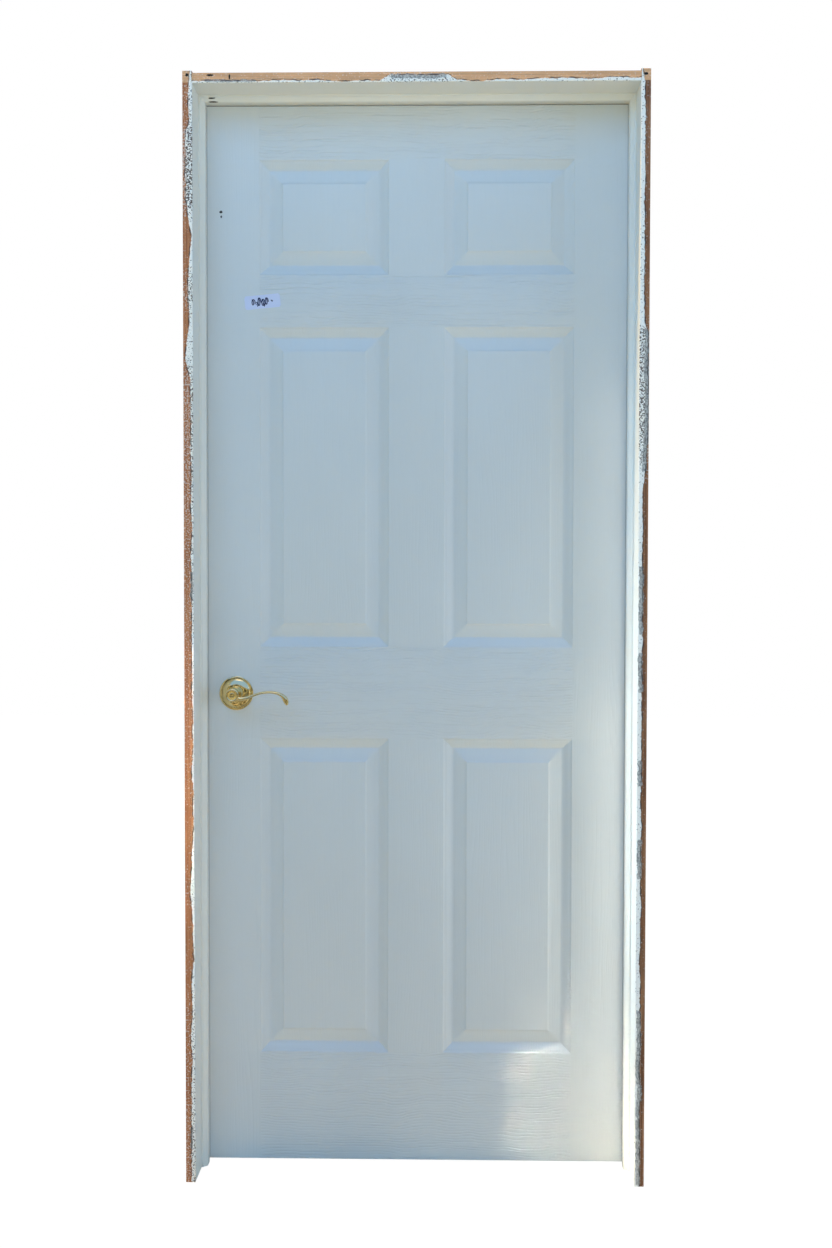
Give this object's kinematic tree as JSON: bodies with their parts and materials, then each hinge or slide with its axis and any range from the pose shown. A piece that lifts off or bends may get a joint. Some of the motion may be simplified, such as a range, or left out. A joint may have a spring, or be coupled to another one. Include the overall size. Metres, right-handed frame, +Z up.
{
  "type": "interior door",
  "caption": "Prehung interior door: a moulded raised-panel leaf on butt hinges in a painted wood frame, with brass lever handles.",
  "frame": {"origin": "outer face of the hinge jamb, at its foot and half way through its depth", "axes": "+X out of the unit through the hinge jamb, +Y towards the side the leaf swings to, +Z up along the jamb"},
  "size_m": [0.8578, 0.1954, 2.0655],
  "materials": {
    "jamb_paint": "off-white satin paint over softwood, raw and chipped along the outer edges",
    "stop_paint": "off-white satin paint over a moulded wood stop",
    "skin_paint": "off-white semi-gloss paint over moulded wood-fibre skin with pressed grain",
    "core_wood": "painted edge of a softwood stile",
    "block_wood": "raw softwood, hidden in the leaf",
    "hinge_brass": "bright brass plate",
    "screw_brass": "bright brass plate",
    "lever_brass": "polished brass",
    "plate_brass": "bright brass plate",
    "latch_steel": "zinc-plated steel, hidden in the leaf",
    "spindle_steel": "zinc-plated steel, hidden in the levers"
  },
  "bodies": {
    "frame": {"hinge_jamb": "jamb_paint", "strike_jamb": "jamb_paint", "head_jamb": "jamb_paint", "hinge_stop": "stop_paint", "strike_stop": "stop_paint", "head_stop": "stop_paint", "strike_plate": "plate_brass", "strike_screws": "screw_brass", "top_hinge_jamb_plate": "hinge_brass", "top_hinge_jamb_screws": "screw_brass", "top_hinge_pin": "hinge_brass", "middle_hinge_jamb_plate": "hinge_brass", "middle_hinge_jamb_screws": "screw_brass", "middle_hinge_pin": "hinge_brass", "bottom_hinge_jamb_plate": "hinge_brass", "bottom_hinge_jamb_screws": "screw_brass", "bottom_hinge_pin": "hinge_brass"},
    "door_leaf": {"front_skin": "skin_paint", "back_skin": "skin_paint", "lock_stile": "core_wood", "hinge_stile": "core_wood", "top_rail": "core_wood", "bottom_rail": "core_wood", "lock_block": "block_wood", "latch_face_plate": "plate_brass", "latch_case": "latch_steel", "latch_bolt": "plate_brass", "latch_screws": "screw_brass", "front_rose": "lever_brass", "back_rose": "lever_brass", "top_hinge_leaf_plate": "hinge_brass", "top_hinge_leaf_screws": "screw_brass", "middle_hinge_leaf_plate": "hinge_brass", "middle_hinge_leaf_screws": "screw_brass", "bottom_hinge_leaf_plate": "hinge_brass", "bottom_hinge_leaf_screws": "screw_brass"},
    "lever_set": {"front_lever": "lever_brass", "back_lever": "lever_brass", "spindle": "spindle_steel"}
  },
  "joints": [
    {"name": "leaf_swing", "type": "hinge", "parent": "frame", "child": "door_leaf", "pos_m": [-0.02, 0.0767, 1], "axis": [0, 0, -1], "range_deg": [0, 165]},
    {"name": "lever_turn", "type": "hinge", "parent": "door_leaf", "child": "lever_set", "pos_m": [-0.775, 0.04925, 0.914], "axis": [0, 1, 0], "range_deg": [0, 45], "stiffness_Nm_per_rad": 1.2, "springref_deg": -22.92}
  ]
}
